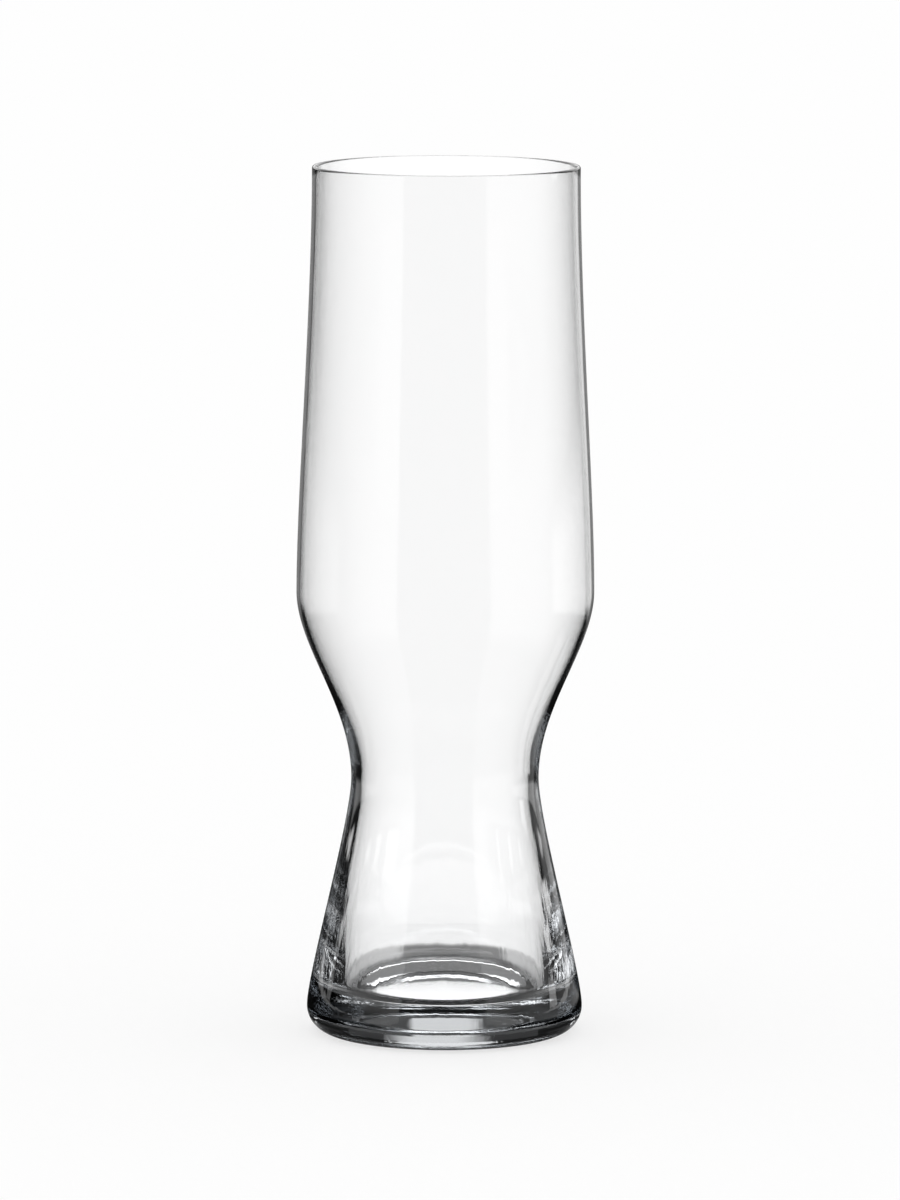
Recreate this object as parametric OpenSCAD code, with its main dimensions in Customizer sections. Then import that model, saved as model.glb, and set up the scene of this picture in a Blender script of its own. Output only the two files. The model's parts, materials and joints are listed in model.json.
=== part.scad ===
// Weizen glass: a tall wheat-beer glass with a narrow waist and a heavy base.
// It is one piece of clear glass, drawn as four zones that meet face to face:
// the base, the foot with the floor of the cavity, the shoulder and the bowl.
// Outside and inside, the wall is a chain of curves between rings where it stands upright.
// Sizes are in millimetres, +Z is up, and the origin is on the table under the middle of the base.

/* [Rim] */
// Height of the rim above the table
glass_h = 225; // [200:1:250]
// Outer diameter at the rim
rim_d = 69; // [60:0.5:76]
// Thickness of the fire-polished rim, which is rounded over its whole width
rim_wall = 1.4; // [1:0.1:2.5]
// How far down the wall keeps the upright line of the rim
rim_pull = 36; // [10:1:60]

/* [Bowl] */
// Outer diameter at the widest ring
bowl_d = 76.9; // [70:0.1:90]
// Height of the widest ring above the table
bowl_z = 115; // [100:1:135]
// Thickness of the wall at the widest ring
bowl_wall = 1.1; // [0.8:0.1:2.5]
// How far up the wall keeps the upright line of the widest ring
bowl_pull_up = 25; // [8:1:50]
// How far down the outside keeps the upright line of the widest ring
bowl_pull_down = 14.4; // [6:0.2:24]
// How far down the inside keeps the upright line of the widest ring
bowl_pull_inside = 13.4; // [6:0.2:22]

/* [Waist] */
// Outer diameter at the waist, the narrowest ring
waist_d = 48.5; // [42:0.1:58]
// Height of the waist above the table
waist_z = 66.4; // [56:0.2:76]
// Thickness of the wall at the waist
waist_wall = 2.5; // [1.5:0.1:4]
// How far up the outside keeps the upright line of the waist
waist_pull_up = 19; // [8:0.5:24]
// How far up the inside keeps the upright line of the waist
waist_pull_up_inside = 15.4; // [8:0.2:20]
// How far down the outside keeps the upright line of the waist
waist_pull_down = 11; // [5:0.5:20]
// How far down the inside keeps the upright line of the waist
waist_pull_down_inside = 16.6; // [8:0.2:22]

/* [Foot] */
// Height of the floor of the cavity above the widest ring of the base
floor_rise = 3.6; // [1.5:0.1:9]
// Thickness of the glass between the widest ring of the base and the upright wall of the cavity
cavity_wall = 9; // [6:0.1:13]
// Height above the floor at which the wall of the cavity starts to lean in
cavity_rise = 8.3; // [6:0.1:14]
// Radius of the round corner between the floor and the wall of the cavity
cavity_corner_r = 3.6; // [1:0.1:6]
// How far up the inside keeps the upright line of the cavity
cavity_pull = 26; // [10:1:34]

/* [Base] */
// Outer diameter at the widest ring of the base
base_d = 71.4; // [66:0.1:82]
// Radius of the round edge between the base and the table, and height of the widest ring
base_edge_r = 6.7; // [3:0.1:7.5]
// How far up the outside keeps the upright line of the base
base_pull = 8; // [3:0.5:20]
// Width of the flat ring that the glass stands on, between the round edge and the hollow
standing_ring_w = 3; // [2:0.1:16]
// Depth of the hollow inside the standing ring, in its middle
hollow_depth = 2.8; // [0.4:0.1:4]

/* [Hidden] */
$fn = 96;
glass_colour = [0.86, 0.91, 0.92, 0.45];
// Straight steps along one curve of the wall
curve_steps = 28;
// Straight steps along one arc
arc_steps = 12;
// Rings of the outside, each a radius and a height
base_ring = [base_d / 2, base_edge_r];
waist_ring = [waist_d / 2, waist_z];
bowl_ring = [bowl_d / 2, bowl_z];
rim_ring = [rim_d / 2, glass_h - rim_wall / 2];
// Height of the floor of the cavity above the table
floor_z = base_edge_r + floor_rise;
// Rings of the inside, level with those of the outside from the waist up
cavity_ring = [base_ring.x - cavity_wall, floor_z + cavity_rise];
waist_inside = waist_ring - [waist_wall, 0];
bowl_inside = bowl_ring - [bowl_wall, 0];
rim_inside = rim_ring - [rim_wall, 0];
// Radius of the hollow's edge, and of the sphere that the hollow is a cap of
hollow_edge_r = base_ring.x - base_edge_r - standing_ring_w;
hollow_r = (hollow_edge_r ^ 2 + hollow_depth ^ 2) / (2 * hollow_depth);

// Curve of the wall from a low ring to a high one, upright at both
function wall_curve(low, high, low_pull, high_pull) = [
    for (i = [0 : curve_steps])
        let (t = i / curve_steps, s = 1 - t)
        s ^ 3 * low
            + 3 * s ^ 2 * t * (low + [0, low_pull])
            + 3 * s * t ^ 2 * (high - [0, high_pull])
            + t ^ 3 * high
];

// Arc about a centre from one angle to another
function arc(centre, radius, start, end) = [
    for (i = [0 : arc_steps])
        let (angle = start + (end - start) * i / arc_steps)
        centre + radius * [cos(angle), sin(angle)]
];

function reversed(points) = [for (i = [len(points) - 1 : -1 : 0]) points[i]];

// Turns an outline of radii and heights about the glass's own axis
module turned(outline) {
    color(glass_colour)
        rotate_extrude()
            polygon(outline);
}

// Solid bottom with its round edge, the ring that it stands on and the hollow inside that ring
module base() {
    edge_centre = [base_ring.x - base_edge_r, base_edge_r];
    hollow_centre = [0, hollow_depth - hollow_r];
    hollow_end = asin((hollow_r - hollow_depth) / hollow_r);
    turned(concat(
        arc(hollow_centre, hollow_r, 90, hollow_end),
        arc(edge_centre, base_edge_r, -90, 0),
        [[0, base_edge_r]]
    ));
}

// Flared lower wall with the floor of the cavity, from the base's widest ring to the waist
module foot() {
    corner_centre = [cavity_ring.x - cavity_corner_r, floor_z + cavity_corner_r];
    outside = wall_curve(base_ring, waist_ring, base_pull, waist_pull_down);
    inside = wall_curve(cavity_ring, waist_inside, cavity_pull, waist_pull_down_inside);
    turned(concat(
        [[0, base_edge_r]],
        outside,
        reversed(inside),
        arc(corner_centre, cavity_corner_r, 0, -90),
        [[0, floor_z]]
    ));
}

// Wall that opens out from the waist to the widest ring of the bowl
module shoulder() {
    outside = wall_curve(waist_ring, bowl_ring, waist_pull_up, bowl_pull_down);
    inside = wall_curve(waist_inside, bowl_inside, waist_pull_up_inside, bowl_pull_inside);
    turned(concat(outside, reversed(inside)));
}

// Tall wall from the widest ring to the rounded rim
module bowl() {
    rim_centre = [rim_ring.x - rim_wall / 2, rim_ring.y];
    outside = wall_curve(bowl_ring, rim_ring, bowl_pull_up, rim_pull);
    inside = wall_curve(bowl_inside, rim_inside, bowl_pull_up, rim_pull);
    lip = arc(rim_centre, rim_wall / 2, 0, 180);
    lip_between_ends = [for (i = [1 : arc_steps - 1]) lip[i]];
    turned(concat(outside, lip_between_ends, reversed(inside)));
}

base();
foot();
shoulder();
bowl();
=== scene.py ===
"""Looks of the weizen glass: one turned body of clear glass in a white studio."""

import json
import logging
import math
from collections.abc import Mapping
from dataclasses import dataclass
from enum import Enum
from typing import Any

import bmesh
import bpy
from mathutils import Euler, Matrix, Vector

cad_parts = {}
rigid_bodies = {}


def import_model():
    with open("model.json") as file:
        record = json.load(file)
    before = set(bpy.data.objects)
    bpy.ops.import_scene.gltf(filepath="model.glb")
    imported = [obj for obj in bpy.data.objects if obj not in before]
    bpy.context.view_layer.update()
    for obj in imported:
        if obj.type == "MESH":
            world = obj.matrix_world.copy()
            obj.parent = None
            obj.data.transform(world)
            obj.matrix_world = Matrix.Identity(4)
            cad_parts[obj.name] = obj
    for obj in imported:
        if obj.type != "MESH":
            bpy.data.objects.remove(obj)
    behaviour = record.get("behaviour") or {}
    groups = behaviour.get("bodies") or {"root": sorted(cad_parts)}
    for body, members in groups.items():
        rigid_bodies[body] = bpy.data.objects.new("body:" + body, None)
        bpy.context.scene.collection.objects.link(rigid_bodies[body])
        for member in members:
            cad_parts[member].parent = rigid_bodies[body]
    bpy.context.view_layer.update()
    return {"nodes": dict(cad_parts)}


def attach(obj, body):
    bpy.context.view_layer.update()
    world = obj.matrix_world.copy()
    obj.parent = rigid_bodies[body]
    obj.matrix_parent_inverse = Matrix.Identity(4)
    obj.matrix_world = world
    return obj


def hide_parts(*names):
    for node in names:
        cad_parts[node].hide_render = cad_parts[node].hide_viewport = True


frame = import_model()

MM = 0.001
CM3_IN_M3 = 1e6
# Handle length of a quarter circle drawn as one Bezier curve of radius 1
QUARTER = 4 / 3 * (math.sqrt(2) - 1)
NO_PULL = (0.0, 0.0)
# Distance within which neighbouring points of the outline are joined
WELD = 0.001 * MM
# Sockets of a Mix node, which gives the same names to each kind of data
FACTOR, VALUE_A, VALUE_B, COLOUR_A, COLOUR_B = 0, 2, 3, 6, 7
COLOUR_RESULT = 2
# Limits half way between two counts of what a ray has met
ONCE = 0.5
BOTH_SIDES_OF_A_WALL = 2.5
# Bounces after which the reflections inside the thick base make no difference
BOUNCES = 32
MIRROR_BOUNCES = 24
LOG = logging.getLogger("weizen_glass")

Point = tuple[float, float]
Level = float | bpy.types.NodeSocket


def linear(colour: str) -> tuple[float, float, float, float]:
    """Turns an sRGB hex colour into linear values.

    Args:
        colour: Six hex digits, with or without a leading #.

    Returns:
        Linear red, green and blue, and an alpha of 1.
    """
    digits = colour.lstrip("#")
    parts = [int(digits[i:i + 2], 16) / 255 for i in (0, 2, 4)]
    red, green, blue = (
        c / 12.92 if c <= 0.04045 else ((c + 0.055) / 1.055) ** 2.4 for c in parts
    )
    return red, green, blue, 1.0


WHITE = linear("#FFFFFF")
BLACK = linear("#000000")


def metres(pair: Point) -> Point:
    """Turns a pair of millimetres into metres."""
    return pair[0] * MM, pair[1] * MM


def add_node(
    tree: bpy.types.NodeTree,
    kind: str,
    inputs: Mapping[str | int, Any] | None = None,
    **settings: Any,
) -> bpy.types.Node:
    """Adds one node with its settings, input values and links.

    Args:
        tree: Node tree that gets the node.
        kind: Blender's name for the kind of node.
        inputs: For each input, a value to set or an output socket to link.
        settings: Properties of the node itself.

    Returns:
        The new node.
    """
    node = tree.nodes.new(kind)
    for name, value in settings.items():
        setattr(node, name, value)
    for key, value in (inputs or {}).items():
        if isinstance(value, bpy.types.NodeSocket):
            tree.links.new(value, node.inputs[key])
        else:
            node.inputs[key].default_value = value
    return node


def calc(tree: bpy.types.NodeTree, operation: str, *values: Level) -> bpy.types.NodeSocket:
    """Adds one step of arithmetic.

    Args:
        tree: Shader tree that gets the node.
        operation: Blender's name for the step.
        values: Numbers or output sockets, in the order of the node's inputs.

    Returns:
        The result.
    """
    node = add_node(tree, "ShaderNodeMath", dict(enumerate(values)), operation=operation)
    return node.outputs[0]


def ramp(
    tree: bpy.types.NodeTree,
    value: bpy.types.NodeSocket,
    ends: Point,
    start: Level,
    finish: Level,
) -> bpy.types.NodeSocket:
    """Adds a smooth way from one level to another.

    Args:
        tree: Shader tree that gets the node.
        value: What the level follows.
        ends: Values between which the level changes.
        start: Level before the first end.
        finish: Level past the second end.

    Returns:
        The level.
    """
    node = add_node(tree, "ShaderNodeMapRange", {
        "Value": value, "From Min": ends[0], "From Max": ends[1],
        "To Min": start, "To Max": finish,
    }, interpolation_type="SMOOTHSTEP")
    return node.outputs[0]


class Ray(Enum):
    """What a ray has met on its way, as Light Path outputs."""

    CAMERA = "Is Camera Ray"
    GLOSSY = "Is Glossy Ray"
    TRANSMISSION = "Is Transmission Ray"
    REFLECTIONS = "Glossy Depth"
    SURFACES_PASSED = "Transmission Depth"
    PAPER_BOUNCES = "Diffuse Depth"


class Seen(Enum):
    """Where a softbox is seen, as the middle and half width of the count of surfaces passed."""

    # In the outside of the glass
    OUTSIDE = (0.0, 0.5)
    # Inside the wall or the base
    WALL = (1.5, 1.0)
    # Across the cavity
    CAVITY = (50.0, 47.5)


class Side(Enum):
    """Side of the glass that a softbox stands on, as the sign of its angle round the glass."""

    LEFT = -1.0
    RIGHT = 1.0
    BOTH = 0.0


@dataclass(frozen=True)
class SodaLimeGlass:
    """Clear soda-lime glass with a fire-polished surface. Sizes in millimetres.

    It is bright where it is looked through and dark where it is seen edge on, and the
    thick foot shows slow ripples along its wall.
    """

    name: str = "soda_lime_glass_fire_polished"
    ior: float = 1.52
    roughness: float = 0.0
    body_colour: str = "#E6EBF0"
    body_density: float = 8.0
    ripple_across: float = 2.2
    ripple_up: float = 16.0
    ripple_height: float = 0.045
    # Lean of the ripples in degrees, their finer octaves and how far they wander
    ripple_lean: float = 25.0
    ripple_detail: float = 1.0
    ripple_wander: float = 0.6
    # Radii between which the ripples start, clear of the floor and the hollow
    ripple_start: Point = (22.0, 26.0)
    # Heights between which the ripples fade out, and what is left of them above
    ripple_fade: Point = (30.0, 75.0)
    ripple_above: float = 0.12

    def material(self) -> bpy.types.Material:
        """Builds the material.

        Returns:
            A clear, faintly cool glass with a rippled foot.
        """
        material = bpy.data.materials.new(self.name)
        material.use_nodes = True
        tree = material.node_tree
        tree.nodes.clear()
        surface = add_node(tree, "ShaderNodeBsdfPrincipled", {
            "Base Color": WHITE,
            "Roughness": self.roughness,
            "IOR": self.ior,
            "Transmission Weight": 1.0,
            "Normal": self.ripples(tree),
        })
        body = add_node(tree, "ShaderNodeVolumeAbsorption", {
            "Color": linear(self.body_colour),
            "Density": self.body_density,
        })
        add_node(tree, "ShaderNodeOutputMaterial", {
            "Surface": surface.outputs["BSDF"],
            "Volume": body.outputs["Volume"],
        })
        return material

    def ripples(self, tree: bpy.types.NodeTree) -> bpy.types.NodeSocket:
        """Adds the ripples of the foot.

        Args:
            tree: Node tree of the material.

        Returns:
            The rippled normal.
        """
        place = add_node(tree, "ShaderNodeTexCoord").outputs["Object"]
        across, up = 1 / (self.ripple_across * MM), 1 / (self.ripple_up * MM)
        waves = add_node(tree, "ShaderNodeMapping", {
            "Vector": place,
            "Rotation": (0.0, math.radians(self.ripple_lean), 0.0),
            "Scale": (across, across, up),
        })
        ripple = add_node(tree, "ShaderNodeTexNoise", {
            "Vector": waves.outputs[0],
            "Scale": 1.0,
            "Detail": self.ripple_detail,
            "Distortion": self.ripple_wander,
        })
        height = add_node(tree, "ShaderNodeSeparateXYZ", {0: place}).outputs["Z"]
        fade = ramp(tree, height, metres(self.ripple_fade), 1.0, self.ripple_above)
        level = add_node(tree, "ShaderNodeVectorMath", {
            0: place, 1: (1.0, 1.0, 0.0),
        }, operation="MULTIPLY")
        radius = add_node(tree, "ShaderNodeVectorMath", {0: level.outputs[0]}, operation="LENGTH")
        share = ramp(tree, radius.outputs["Value"], metres(self.ripple_start), 0.0, fade)
        bump = add_node(tree, "ShaderNodeBump", {
            "Height": calc(tree, "MULTIPLY", ripple.outputs["Fac"], share),
            "Distance": self.ripple_height * MM,
        })
        return bump.outputs[0]


@dataclass(frozen=True)
class WallCurve:
    """One curve of the glass's outline, from a ring to the next.

    The pulls are the handles of the curve at its two ends, each a radius and a height, and
    the steps are the points along the curve.
    """

    start: str
    end: str
    start_pull: Point
    end_pull: Point
    steps: int

    @property
    def start_input(self) -> str:
        """Name of the input for the pull at the start."""
        return f"{self.start} To {self.end} Start Pull"

    @property
    def end_input(self) -> str:
        """Name of the input for the pull at the end."""
        return f"{self.start} To {self.end} End Pull"


@dataclass
class GlassBody:
    """The whole glass, turned about its axis from one outline. Sizes in millimetres."""

    height: float = 225.0
    rim_d: float = 69.0
    rim_wall: float = 1.4
    rim_pull: float = 36.0
    bowl_d: float = 76.9
    bowl_z: float = 115.0
    bowl_wall: float = 1.1
    bowl_pull_up: float = 25.0
    bowl_pull_down: float = 14.4
    bowl_pull_inside: float = 13.4
    waist_d: float = 48.5
    waist_z: float = 66.4
    waist_wall: float = 2.5
    waist_pull_up: float = 19.0
    waist_pull_up_inside: float = 15.4
    waist_pull_down: float = 11.0
    waist_pull_down_inside: float = 16.6
    floor_rise: float = 3.6
    cavity_wall: float = 9.0
    cavity_rise: float = 8.3
    cavity_corner_r: float = 3.6
    cavity_pull: float = 26.0
    base_d: float = 71.4
    base_edge_r: float = 6.7
    base_pull: float = 8.0
    standing_ring_w: float = 3.0
    hollow_depth: float = 2.8
    segments: int = 180
    finish: SodaLimeGlass = SodaLimeGlass()

    def rings(self) -> dict[str, Point]:
        """Rings of the outline, each a radius and a height.

        Returns:
            Rings by name, from the middle of the underside round to the cavity's floor.
        """
        base_r, waist_r = self.base_d / 2, self.waist_d / 2
        bowl_r, rim_r = self.bowl_d / 2, self.rim_d / 2
        standing_r = base_r - self.base_edge_r
        floor_z = self.base_edge_r + self.floor_rise
        cavity_r = base_r - self.cavity_wall
        lip_z = self.height - self.rim_wall / 2
        return {
            "Hollow Middle": (0.0, self.hollow_depth),
            "Hollow Edge": (standing_r - self.standing_ring_w, 0.0),
            "Standing Edge": (standing_r, 0.0),
            "Base Ring": (base_r, self.base_edge_r),
            "Waist Ring": (waist_r, self.waist_z),
            "Bowl Ring": (bowl_r, self.bowl_z),
            "Rim Ring": (rim_r, lip_z),
            "Rim Top": (rim_r - self.rim_wall / 2, self.height),
            "Rim Inside": (rim_r - self.rim_wall, lip_z),
            "Bowl Inside": (bowl_r - self.bowl_wall, self.bowl_z),
            "Waist Inside": (waist_r - self.waist_wall, self.waist_z),
            "Cavity Ring": (cavity_r, floor_z + self.cavity_rise),
            "Cavity Corner": (cavity_r, floor_z + self.cavity_corner_r),
            "Floor Edge": (cavity_r - self.cavity_corner_r, floor_z),
            "Floor Middle": (0.0, floor_z),
        }

    def curves(self) -> list[WallCurve]:
        """Curves of the outline, in the order of the rings.

        Returns:
            One curve for each pair of neighbouring rings.
        """
        hollow_r = self.rings()["Hollow Edge"][0]
        hollow_angle = 2 * math.atan2(self.hollow_depth, hollow_r)
        hollow_pull = 4 / 3 * math.tan(hollow_angle / 4) * hollow_r / math.sin(hollow_angle)
        hollow_end = (-hollow_pull * math.cos(hollow_angle), hollow_pull * math.sin(hollow_angle))
        edge = QUARTER * self.base_edge_r
        lip = QUARTER * self.rim_wall / 2
        corner = QUARTER * self.cavity_corner_r
        # Pulls at the start and at the end of each curve, and its steps
        ends = [
            ((hollow_pull, 0.0), hollow_end, 14),
            (NO_PULL, NO_PULL, 14),
            ((edge, 0.0), (0.0, -edge), 24),
            ((0.0, self.base_pull), (0.0, -self.waist_pull_down), 60),
            ((0.0, self.waist_pull_up), (0.0, -self.bowl_pull_down), 56),
            ((0.0, self.bowl_pull_up), (0.0, -self.rim_pull), 44),
            ((0.0, lip), (lip, 0.0), 8),
            ((-lip, 0.0), (0.0, lip), 8),
            ((0.0, -self.rim_pull), (0.0, self.bowl_pull_up), 44),
            ((0.0, -self.bowl_pull_inside), (0.0, self.waist_pull_up_inside), 56),
            ((0.0, -self.waist_pull_down_inside), (0.0, self.cavity_pull), 56),
            (NO_PULL, NO_PULL, 8),
            ((0.0, -corner), (corner, 0.0), 20),
            (NO_PULL, NO_PULL, 14),
        ]
        names = list(self.rings())
        return [
            WallCurve(start, end, start_pull, end_pull, steps)
            for start, end, (start_pull, end_pull, steps)
            in zip(names[:-1], names[1:], ends, strict=True)
        ]

    def add_inputs(self, tree: bpy.types.NodeTree) -> dict[str, Any]:
        """Gives the lathe a named input for each size.

        Args:
            tree: Geometry Nodes tree of the lathe.

        Returns:
            For each input, its value in metres by socket identifier.
        """
        kinds = {int: "NodeSocketInt", float: "NodeSocketFloat", tuple: "NodeSocketVector"}
        sizes: dict[str, Any] = {
            "Segments": self.segments,
            "Turning Radius": self.base_d / 2 * MM,
        }
        for name, ring in self.rings().items():
            sizes[name] = (*metres(ring), 0.0)
        for curve in self.curves():
            sizes[curve.start_input] = (*metres(curve.start_pull), 0.0)
            sizes[curve.end_input] = (*metres(curve.end_pull), 0.0)
        values = {}
        for name, size in sizes.items():
            socket = tree.interface.new_socket(name, in_out="INPUT", socket_type=kinds[type(size)])
            values[socket.identifier] = size
        return values

    def outline(
        self, tree: bpy.types.NodeTree, sizes: bpy.types.NodeOutputs
    ) -> bpy.types.NodeSocket:
        """Draws the outline from its curves.

        Args:
            tree: Geometry Nodes tree of the lathe.
            sizes: Inputs of the lathe.

        Returns:
            The outline as one curve, with radii along X and heights along Y.
        """
        lines = add_node(tree, "GeometryNodeJoinGeometry")
        for curve in self.curves():
            start_handle = add_node(tree, "ShaderNodeVectorMath", {
                0: sizes[curve.start], 1: sizes[curve.start_input],
            })
            end_handle = add_node(tree, "ShaderNodeVectorMath", {
                0: sizes[curve.end], 1: sizes[curve.end_input],
            })
            segment = add_node(tree, "GeometryNodeCurvePrimitiveBezierSegment", {
                "Resolution": curve.steps,
                "Start": sizes[curve.start],
                "Start Handle": start_handle.outputs[0],
                "End Handle": end_handle.outputs[0],
                "End": sizes[curve.end],
            })
            line = add_node(tree, "GeometryNodeCurveToMesh", {"Curve": segment.outputs[0]})
            tree.links.new(line.outputs[0], lines.inputs[0])
        joined = add_node(tree, "GeometryNodeMergeByDistance", {
            "Geometry": lines.outputs[0], "Distance": WELD,
        })
        return add_node(tree, "GeometryNodeMeshToCurve", {"Mesh": joined.outputs[0]}).outputs[0]

    def lathe(self, material: bpy.types.Material) -> tuple[bpy.types.NodeTree, dict[str, Any]]:
        """Builds the Geometry Nodes tree that turns the outline about the axis.

        Args:
            material: Finish that the tree gives to the turned wall.

        Returns:
            The tree, and for each of its inputs the value in metres by socket identifier.
        """
        tree = bpy.data.node_groups.new("turned_glass", "GeometryNodeTree")
        values = self.add_inputs(tree)
        tree.interface.new_socket("Glass", in_out="OUTPUT", socket_type="NodeSocketGeometry")
        sizes = add_node(tree, "NodeGroupInput").outputs
        profile = self.outline(tree, sizes)
        to_ring = add_node(tree, "ShaderNodeCombineXYZ", {"X": sizes["Turning Radius"]})
        inwards = add_node(tree, "ShaderNodeVectorMath", {
            0: to_ring.outputs[0], "Scale": -1.0,
        }, operation="SCALE")
        placed = add_node(tree, "GeometryNodeTransform", {
            "Geometry": profile,
            "Translation": inwards.outputs[0],
            # A curve's second axis points down on the turning circle
            "Scale": (1.0, -1.0, 1.0),
        })
        ring = add_node(tree, "GeometryNodeCurvePrimitiveCircle", {
            "Resolution": sizes["Segments"], "Radius": sizes["Turning Radius"],
        })
        turned = add_node(tree, "GeometryNodeCurveToMesh", {
            "Curve": ring.outputs[0], "Profile Curve": placed.outputs[0],
        })
        closed = add_node(tree, "GeometryNodeMergeByDistance", {
            "Geometry": turned.outputs[0], "Distance": WELD,
        })
        smooth = add_node(tree, "GeometryNodeSetShadeSmooth", {"Geometry": closed.outputs[0]})
        real = add_node(tree, "GeometryNodeRealizeInstances", {"Geometry": smooth.outputs[0]})
        dressed = add_node(tree, "GeometryNodeSetMaterial", {
            "Geometry": real.outputs[0], "Material": material,
        })
        add_node(tree, "NodeGroupOutput", {"Glass": dressed.outputs[0]})
        return tree, values

    def build(self) -> bpy.types.Object:
        """Turns the outline, dresses the wall and puts it in place of the CAD nodes.

        Returns:
            The finished glass, a plain mesh at the origin.
        """
        piece = bpy.data.objects.new("glass_body", bpy.data.meshes.new("glass_body_start"))
        bpy.context.scene.collection.objects.link(piece)
        tree, values = self.lathe(self.finish.material())
        modifier = piece.modifiers.new("lathe", "NODES")
        modifier.node_group = tree
        for identifier, value in values.items():
            modifier[identifier] = value
        turned = piece.evaluated_get(bpy.context.evaluated_depsgraph_get())
        mesh = bpy.data.meshes.new_from_object(turned)
        piece.modifiers.remove(modifier)
        mesh.name = "glass_body"
        piece.data = mesh
        self.face_outwards(mesh)
        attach(piece, "root")
        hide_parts(*frame["nodes"])
        return piece

    def face_outwards(self, mesh: bpy.types.Mesh) -> None:
        """Turns the faces of the closed wall outwards and reports its mesh.

        Args:
            mesh: Mesh of the turned wall.
        """
        form = bmesh.new()
        form.from_mesh(mesh)
        volume = form.calc_volume(signed=True)
        if volume < 0:
            bmesh.ops.reverse_faces(form, faces=form.faces)
            form.to_mesh(mesh)
        open_edges = sum(1 for edge in form.edges if not edge.is_manifold)
        LOG.info(
            "glass_body: %d faces, %.1f cm3 of glass, %d open edges",
            len(form.faces), abs(volume) * CM3_IN_M3, open_edges,
        )
        form.free()


@dataclass
class PhotoCamera:
    """Camera at the photograph's angle, in metres and degrees."""

    lens_mm: float = 255.4
    sensor_mm: float = 36.0
    side: float = 0.0012
    distance: float = 2.180
    height: float = 0.3955
    pitch: float = 7.394
    roll: float = 0.142
    # Nearest and farthest distance that is drawn
    reach: Point = (0.1, 30.0)

    def build(self) -> bpy.types.Object:
        """Puts the camera in front of the glass.

        Returns:
            The scene's camera.
        """
        data = bpy.data.cameras.new("photo_camera")
        data.lens = self.lens_mm
        data.sensor_width = self.sensor_mm
        data.clip_start, data.clip_end = self.reach
        camera = bpy.data.objects.new("photo_camera", data)
        tilt = Euler((math.radians(90 - self.pitch), 0, 0)).to_matrix()
        turn = Matrix.Rotation(math.radians(self.roll), 3, "Z")
        camera.matrix_world = (tilt @ turn).to_4x4()
        camera.location = Vector((self.side, -self.distance, self.height))
        bpy.context.scene.collection.objects.link(camera)
        bpy.context.scene.camera = camera
        return camera


@dataclass(frozen=True)
class Softbox:
    """One bright panel of the studio, by its angles in degrees as seen from the glass.

    Away 0 is straight behind the glass, 90 is beside it and 180 is towards the camera, so a
    panel from -1 or to 181 has no edge there. Rise is measured up from the level, and below
    0 the panel lies on the paper. Each soft pair is the width over which the panel fades
    past its two ends.
    """

    seen: Seen
    side: Side
    away: Point
    away_soft: Point
    rise: Point
    rise_soft: Point
    light: float

    def light_from(
        self,
        tree: bpy.types.NodeTree,
        azimuth: bpy.types.NodeSocket,
        rise: bpy.types.NodeSocket,
        surfaces: bpy.types.NodeSocket,
    ) -> bpy.types.NodeSocket:
        """Adds the panel's light from a direction.

        Args:
            tree: Node tree of the surround.
            azimuth: Angle of the direction round the glass, positive to the right.
            rise: Angle of the direction above the level.
            surfaces: Count of the glass's surfaces that the ray has passed.

        Returns:
            The light, which is 0 beside the panel.
        """
        if self.side is Side.BOTH:
            away = calc(tree, "ABSOLUTE", azimuth)
        else:
            away = calc(tree, "MULTIPLY", azimuth, self.side.value)
        shown = calc(tree, "COMPARE", surfaces, *self.seen.value)
        light = calc(tree, "MULTIPLY", shown, self.light)
        for angle, (low, high), (low_soft, high_soft) in (
            (away, self.away, self.away_soft),
            (rise, self.rise, self.rise_soft),
        ):
            light = ramp(tree, angle, (low - low_soft, low), 0.0, light)
            light = ramp(tree, angle, (high, high + high_soft), light, 0.0)
        return light


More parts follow.
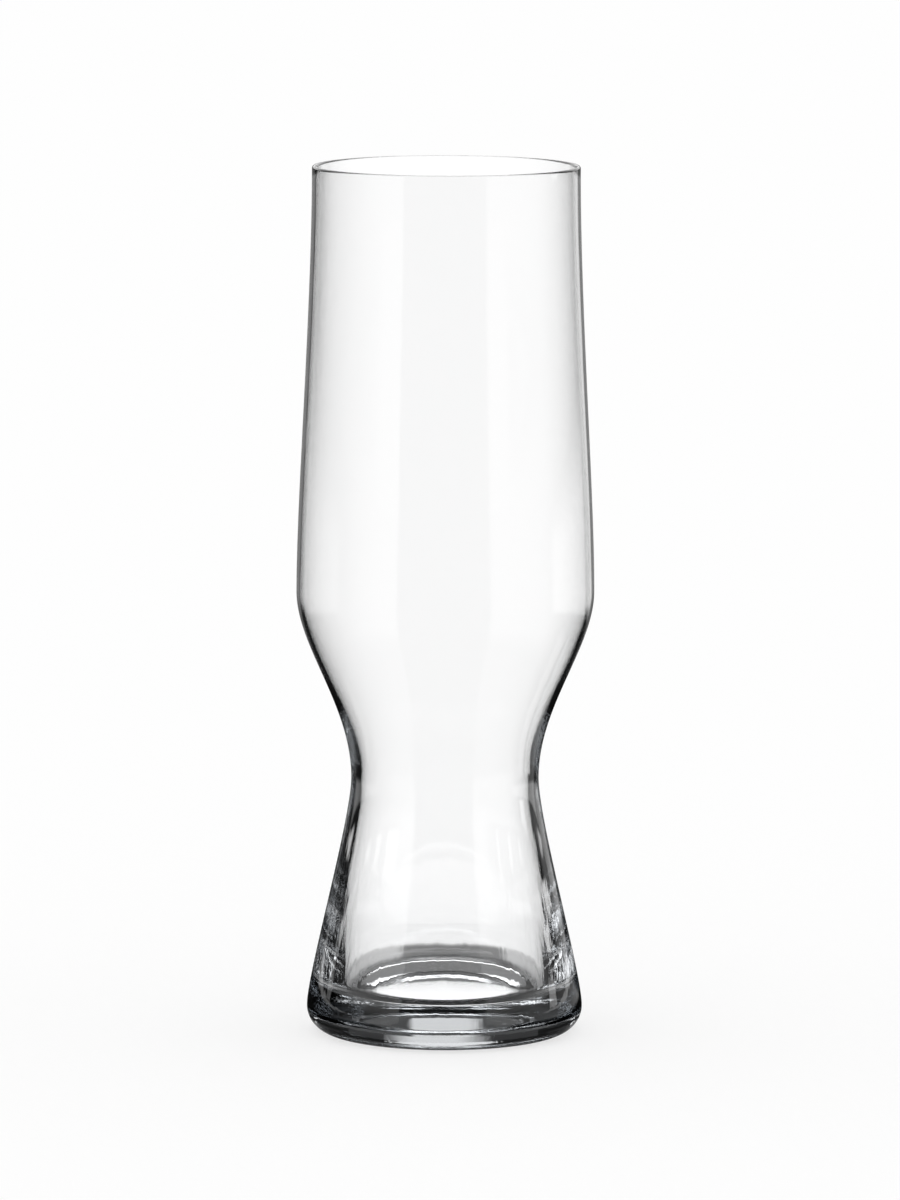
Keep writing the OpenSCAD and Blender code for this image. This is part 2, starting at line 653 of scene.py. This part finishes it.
@dataclass
class Studio:
    """White studio: pale paper under soft light, with dark gaps between the softboxes.

    Glass is looked through at the bright paper, and its edges mirror the dark gaps. Sizes in
    millimetres.
    """

    floor_r: float = 12000.0
    floor_segments: int = 96
    floor_colour: str = "#FEFEFE"
    # Gap between the paper and the standing ring
    floor_gap: float = 0.1
    # Patch of paper under the hollow with painted light: its edge, and how far back its middle
    # lies
    hollow_r: Point = (18.0, 23.0)
    hollow_back: float = 5.0
    # Radii between which the painted contact shadow ends
    contact_r: Point = (46.0, 60.0)
    # Light left on the paper in the painted contact shadow: in front, at the back and at the
    # back's sides
    contact_front: float = 0.02
    contact_back: float = 0.25
    contact_sides: float = 0.75
    # Places along the view between which the painted contact shadow lightens
    contact_y: Point = (-20.0, 15.0)
    # Middle of the shadow's dark part at the back, and half widths between which it lightens
    contact_middle: float = 3.0
    contact_x: Point = (15.0, 20.0)
    # Share of the paper's white that needs no light, which keeps the glass's shadow faint
    paper_white: float = 0.6
    # Painted light added to the paper under the hollow and to the paper behind the glass, and
    # light added to the backdrop behind the glass
    painted_hollow_light: float = 1.25
    open_glow: float = 0.1
    # Radii between which mirrored paper gives way to the mirrored surround
    mirrored_r: Point = (34.0, 40.0)
    # Light of the dark gaps between the softboxes
    gap_light: float = 0.008
    # Height on the glass from which the softboxes' angles are measured for the paper
    middle: float = 100.0
    softboxes: tuple[Softbox, ...] = (
        # Backdrop, brightest in its middle, a panel above it and the lit paper before it
        Softbox(Seen.WALL, Side.LEFT, (-1, 2), (1, 15), (1, 7), (2, 2), 0.78),
        Softbox(Seen.WALL, Side.RIGHT, (-1, 8), (1, 13), (1, 7), (2, 2), 0.78),
        Softbox(Seen.WALL, Side.BOTH, (-1, 33), (1, 0.5), (0, 14), (1, 4), 0.04),
        Softbox(Seen.WALL, Side.LEFT, (-1, 6), (1, 7), (8, 15), (2, 3), 0.75),
        Softbox(Seen.WALL, Side.RIGHT, (-1, 8), (1, 3), (8, 15), (2, 3), 0.75),
        Softbox(Seen.WALL, Side.BOTH, (-1, 38), (1, 14), (10, 40), (2, 8), 0.07),
        Softbox(Seen.WALL, Side.BOTH, (-1, 3), (1, 1), (-58, -1), (1, 1), 0.9),
        # Far paper and the backdrop above it, in the edges of the bowl and the ends of the rim
        Softbox(Seen.WALL, Side.LEFT, (-1, 22), (1, 5), (-9, -1), (4, 1), 0.18),
        Softbox(Seen.WALL, Side.LEFT, (29, 38), (5, 6), (-9, -1), (4, 1), 0.6),
        Softbox(Seen.WALL, Side.RIGHT, (-1, 18), (1, 5), (-9, -1), (4, 1), 0.2),
        Softbox(Seen.WALL, Side.RIGHT, (24, 32), (5, 10), (-9, -1), (4, 1), 0.7),
        Softbox(Seen.OUTSIDE, Side.BOTH, (-1, 24), (1, 5), (-9, -1), (4, 2), 0.2),
        Softbox(Seen.OUTSIDE, Side.RIGHT, (28, 38), (6, 8), (-9, -1), (4, 2), 0.85),
        Softbox(Seen.OUTSIDE, Side.BOTH, (-1, 34), (1, 12), (5, 40), (3, 8), 1.3),
        # Strip lights on both sides, with a dim wall behind them
        *(
            Softbox(Seen.WALL, Side.RIGHT, away, (1, 1), (4, 40), (3, 8), 1.4)
            for away in ((62.5, 64.5), (77.5, 80), (93.5, 96), (110.5, 113))
        ),
        *(
            Softbox(Seen.WALL, Side.LEFT, away, (1, 1), (4, 45), (3, 8), 1.6)
            for away in ((62.5, 65), (74, 79), (89, 95))
        ),
        Softbox(Seen.WALL, Side.LEFT, (105, 119), (1, 3), (4, 45), (3, 8), 1.6),
        Softbox(Seen.WALL, Side.BOTH, (40, 120), (6, 10), (4, 45), (3, 10), 0.02),
        # Softboxes left and right of the camera, with the paper that they light
        Softbox(Seen.OUTSIDE, Side.LEFT, (135, 142), (60, 1.5), (-45, 30), (10, 5), 0.7),
        Softbox(Seen.OUTSIDE, Side.RIGHT, (100, 143), (45, 5), (-45, 30), (10, 5), 0.7),
        Softbox(Seen.OUTSIDE, Side.LEFT, (115, 142), (50, 1.5), (8, 30), (9, 5), 1.1),
        Softbox(Seen.OUTSIDE, Side.RIGHT, (95, 143), (45, 5), (8, 30), (9, 5), 1.1),
        Softbox(Seen.WALL, Side.LEFT, (135, 142), (60, 1.5), (-25, -1), (10, 1), 0.6),
        Softbox(Seen.WALL, Side.RIGHT, (100, 143), (45, 5), (-25, -1), (10, 1), 0.6),
        Softbox(Seen.WALL, Side.LEFT, (128, 142), (20, 1.5), (-1, 25), (1, 8), 0.7),
        Softbox(Seen.WALL, Side.RIGHT, (130, 143), (10, 5), (-1, 25), (1, 8), 0.7),
        # Lights beside the glass, which the sides of the bowl and of the base mirror
        Softbox(Seen.OUTSIDE, Side.LEFT, (45, 85), (8, 12), (-11, -3.5), (4, 2), 0.8),
        Softbox(Seen.OUTSIDE, Side.RIGHT, (45, 85), (8, 12), (-11, -3.5), (4, 2), 1.6),
        Softbox(Seen.OUTSIDE, Side.LEFT, (62, 66), (2, 2), (0, 3), (2, 2), 0.8),
        Softbox(Seen.OUTSIDE, Side.RIGHT, (45, 85), (8, 12), (-40, 1), (10, 2), 0.45),
        Softbox(Seen.OUTSIDE, Side.RIGHT, (71, 77), (2, 2), (0, 3), (2, 2), 2.5),
        # Lit paper on both sides, which the walls mirror
        Softbox(Seen.WALL, Side.RIGHT, (45, 55), (4, 3), (-45, -25), (6, 6), 0.7),
        Softbox(Seen.WALL, Side.RIGHT, (63, 70), (3, 4), (-58, -25), (3, 6), 0.7),
        Softbox(Seen.WALL, Side.LEFT, (62, 67), (3, 3), (-58, -35), (3, 6), 0.4),
        # Room beside and behind the camera
        Softbox(Seen.OUTSIDE, Side.BOTH, (140, 181), (6, 1), (-60, 60), (10, 10), 0.12),
        Softbox(Seen.WALL, Side.BOTH, (140, 181), (6, 1), (-60, 30), (10, 5), 0.12),
        Softbox(Seen.CAVITY, Side.BOTH, (75, 181), (40, 1), (-80, 50), (5, 4), 0.2),
        # Softbox overhead, and the dim room below it
        Softbox(Seen.CAVITY, Side.BOTH, (-1, 181), (1, 1), (57, 74), (3, 4), 2.4),
        Softbox(Seen.CAVITY, Side.BOTH, (-1, 70), (1, 20), (36, 54), (3, 2), 0.28),
    )

    def build(self) -> bpy.types.Object:
        """Builds the surround, the floor and the world.

        Returns:
            The floor.
        """
        rays = self.glass_rays()
        surround = self.surround()
        floor = self.floor(rays, surround)
        self.world(rays, surround)
        return floor

    def glass_rays(self) -> bpy.types.NodeTree:
        """Builds the group that tells rays which come straight from the glass.

        Returns:
            A group with four outputs: Through for any ray that the glass sends out, Mirrored
            for one that it has reflected on the way, Bent for one that it has reflected or
            that has passed inside a wall or the base only, and Surfaces for the count of its
            surfaces that the ray has passed.
        """
        tree = bpy.data.node_groups.new("glass_rays", "ShaderNodeTree")
        for name in ("Through", "Mirrored", "Bent", "Surfaces"):
            tree.interface.new_socket(name, in_out="OUTPUT", socket_type="NodeSocketFloat")
        path = add_node(tree, "ShaderNodeLightPath").outputs
        surfaces = path[Ray.SURFACES_PASSED.value]
        glassy = calc(tree, "MAXIMUM", path[Ray.GLOSSY.value], path[Ray.TRANSMISSION.value])
        straight = calc(tree, "LESS_THAN", path[Ray.PAPER_BOUNCES.value], ONCE)
        through = calc(tree, "MULTIPLY", glassy, straight)
        reflected = calc(tree, "GREATER_THAN", path[Ray.REFLECTIONS.value], ONCE)
        in_wall = calc(tree, "LESS_THAN", surfaces, BOTH_SIDES_OF_A_WALL)
        turned = calc(tree, "MAXIMUM", reflected, in_wall)
        add_node(tree, "NodeGroupOutput", {
            "Through": through,
            "Mirrored": calc(tree, "MULTIPLY", reflected, through),
            "Bent": calc(tree, "MULTIPLY", turned, through),
            "Surfaces": surfaces,
        })
        return tree

    def surround(self) -> bpy.types.NodeTree:
        """Builds the group that gives the light of the softboxes from a direction.

        Returns:
            A group with the inputs Direction and Surfaces and the output Light.
        """
        tree = bpy.data.node_groups.new("softbox_light", "ShaderNodeTree")
        tree.interface.new_socket("Direction", in_out="INPUT", socket_type="NodeSocketVector")
        tree.interface.new_socket("Surfaces", in_out="INPUT", socket_type="NodeSocketFloat")
        tree.interface.new_socket("Light", in_out="OUTPUT", socket_type="NodeSocketFloat")
        given = add_node(tree, "NodeGroupInput").outputs
        unit = add_node(tree, "ShaderNodeVectorMath", {
            0: given["Direction"],
        }, operation="NORMALIZE")
        axes = add_node(tree, "ShaderNodeSeparateXYZ", {0: unit.outputs[0]}).outputs
        azimuth = calc(tree, "DEGREES", calc(tree, "ARCTAN2", axes["X"], axes["Y"]))
        rise = calc(tree, "DEGREES", calc(tree, "ARCSINE", axes["Z"]))
        brightest: Level = self.gap_light
        for softbox in self.softboxes:
            light = softbox.light_from(tree, azimuth, rise, given["Surfaces"])
            brightest = calc(tree, "MAXIMUM", light, brightest)
        add_node(tree, "NodeGroupOutput", {"Light": brightest})
        return tree

    def floor(self, rays: bpy.types.NodeTree, surround: bpy.types.NodeTree) -> bpy.types.Object:
        """Lays the round paper under the glass.

        Args:
            rays: Group that tells rays which come from the glass.
            surround: Group that gives the light of the softboxes.

        Returns:
            The floor.
        """
        mesh = bpy.data.meshes.new("studio_floor")
        form = bmesh.new()
        bmesh.ops.create_circle(
            form, cap_ends=True, segments=self.floor_segments, radius=self.floor_r * MM
        )
        bmesh.ops.translate(form, verts=form.verts, vec=(0, 0, -self.floor_gap * MM))
        form.to_mesh(mesh)
        form.free()
        mesh.materials.append(self.paper(rays, surround))
        floor = bpy.data.objects.new("studio_floor", mesh)
        bpy.context.scene.collection.objects.link(floor)
        return floor

    def under_glass(
        self,
        tree: bpy.types.NodeTree,
        place: bpy.types.NodeSocket,
        radius: bpy.types.NodeSocket,
    ) -> tuple[bpy.types.NodeSocket, bpy.types.NodeSocket]:
        """Paints the contact shadow and a patch of light under the hollow onto the paper.

        Args:
            tree: Node tree of the paper.
            place: Place on the paper.
            radius: Distance of that place from the glass's axis.

        Returns:
            The share of the paper's white that shows through the glass, and the painted light
            added.
        """
        # Painted contact shadow: darkest in front, lighter at the back and at the back's sides
        axes = add_node(tree, "ShaderNodeSeparateXYZ", {0: place}).outputs
        aside = calc(tree, "ABSOLUTE", calc(tree, "SUBTRACT", axes["X"], self.contact_middle * MM))
        back = ramp(tree, aside, metres(self.contact_x), self.contact_back, self.contact_sides)
        shade = ramp(tree, axes["Y"], metres(self.contact_y), self.contact_front, back)
        from_patch = add_node(tree, "ShaderNodeVectorMath", {
            0: place, 1: (0, self.hollow_back * MM, 0),
        }, operation="DISTANCE").outputs["Value"]
        patch_edge, shadow_edge = metres(self.hollow_r), metres(self.contact_r)
        patch = ramp(tree, from_patch, patch_edge, 1.0, shade)
        open_paper = ramp(tree, radius, shadow_edge, shade, 1.0)
        # Painted light: a glowing patch under the hollow and a faint glow on the open paper
        patch_glow = ramp(tree, from_patch, patch_edge, self.painted_hollow_light, 0.0)
        open_glow = ramp(tree, radius, shadow_edge, 0.0, self.open_glow)
        share = calc(tree, "MAXIMUM", patch, open_paper)
        return share, calc(tree, "ADD", patch_glow, open_glow)

    def paper(self, rays: bpy.types.NodeTree, surround: bpy.types.NodeTree) -> bpy.types.Material:
        """Builds the matt paper, and what the glass shows of it.

        Args:
            rays: Group that tells rays which come from the glass.
            surround: Group that gives the light of the softboxes.

        Returns:
            The floor's material.
        """
        material = bpy.data.materials.new("matt_white_paper")
        material.use_nodes = True
        tree = material.node_tree
        tree.nodes.clear()
        place = add_node(tree, "ShaderNodeTexCoord").outputs["Object"]
        length = add_node(tree, "ShaderNodeVectorMath", {0: place}, operation="LENGTH")
        radius = length.outputs["Value"]
        ray = add_node(tree, "ShaderNodeGroup", node_tree=rays).outputs

        # Paper that is lit by the studio, or looked at through the glass, with a painted contact
        # shadow in its colour and painted light added
        share, added = self.under_glass(tree, place, radius)
        seen = add_node(tree, "ShaderNodeMix", {
            FACTOR: ray["Through"], VALUE_A: 1.0, VALUE_B: share,
        }, data_type="FLOAT")
        colour = add_node(tree, "ShaderNodeMix", {
            FACTOR: seen.outputs[0], COLOUR_A: BLACK, COLOUR_B: linear(self.floor_colour),
        }, data_type="RGBA")
        matt = add_node(tree, "ShaderNodeBsdfDiffuse", {"Color": colour.outputs[COLOUR_RESULT]})
        # The paper glows with the painted light, for rays through the glass only
        glow = add_node(tree, "ShaderNodeEmission", {
            "Strength": calc(tree, "MULTIPLY", added, ray["Through"]),
        })
        under = add_node(tree, "ShaderNodeAddShader", {0: matt.outputs[0], 1: glow.outputs[0]})

        # Surround in place of the paper, where the glass mirrors it
        seen_from = add_node(tree, "ShaderNodeVectorMath", {
            0: place, 1: (0, 0, self.middle * MM),
        }, operation="SUBTRACT")
        softboxes = add_node(tree, "ShaderNodeGroup", {
            "Direction": seen_from.outputs[0], "Surfaces": ray["Surfaces"],
        }, node_tree=surround)
        mirror = add_node(tree, "ShaderNodeEmission", {"Strength": softboxes.outputs[0]})
        away = ramp(tree, radius, metres(self.mirrored_r), 0.0, 1.0)
        both = add_node(tree, "ShaderNodeMixShader", {
            0: calc(tree, "MULTIPLY", away, ray["Mirrored"]),
            1: under.outputs[0],
            2: mirror.outputs[0],
        })

        # Plain white for the camera, mixed in so that the shadow stays
        white = add_node(tree, "ShaderNodeEmission", {"Color": linear(self.floor_colour)})
        camera = add_node(tree, "ShaderNodeLightPath").outputs[Ray.CAMERA.value]
        shown = add_node(tree, "ShaderNodeMixShader", {
            0: calc(tree, "MULTIPLY", camera, self.paper_white),
            1: both.outputs[0],
            2: white.outputs[0],
        })
        add_node(tree, "ShaderNodeOutputMaterial", {"Surface": shown.outputs[0]})
        return material

    def world(self, rays: bpy.types.NodeTree, surround: bpy.types.NodeTree) -> None:
        """Makes the world white, with the softboxes for rays from the glass.

        Args:
            rays: Group that tells rays which come from the glass.
            surround: Group that gives the light of the softboxes.
        """
        world = bpy.data.worlds.new("white_studio")
        bpy.context.scene.world = world
        world.use_nodes = True
        world.cycles.sampling_method = "NONE"
        tree = world.node_tree
        tree.nodes.clear()
        direction = add_node(tree, "ShaderNodeTexCoord").outputs["Generated"]
        ray = add_node(tree, "ShaderNodeGroup", node_tree=rays).outputs
        softboxes = add_node(tree, "ShaderNodeGroup", {
            "Direction": direction, "Surfaces": ray["Surfaces"],
        }, node_tree=surround)
        strength = add_node(tree, "ShaderNodeMix", {
            FACTOR: ray["Bent"],
            VALUE_A: calc(tree, "MULTIPLY_ADD", ray["Through"], self.open_glow, 1.0),
            VALUE_B: softboxes.outputs[0],
        }, data_type="FLOAT")
        light = add_node(tree, "ShaderNodeBackground", {
            "Color": WHITE, "Strength": strength.outputs[0],
        })
        add_node(tree, "ShaderNodeOutputWorld", {"Surface": light.outputs[0]})


def main() -> None:
    """Builds the glass, the studio and the camera in order, and reports each."""
    logging.basicConfig(level=logging.INFO, format="%(name)s: %(message)s")
    scene = bpy.context.scene
    scene.view_settings.view_transform = "Standard"
    scene.cycles.max_bounces = BOUNCES
    scene.cycles.glossy_bounces = MIRROR_BOUNCES
    scene.cycles.transmission_bounces = BOUNCES
    for part in (GlassBody(), Studio(), PhotoCamera()):
        LOG.info("built %s", part.build().name)


if __name__ == "__main__":
    main()
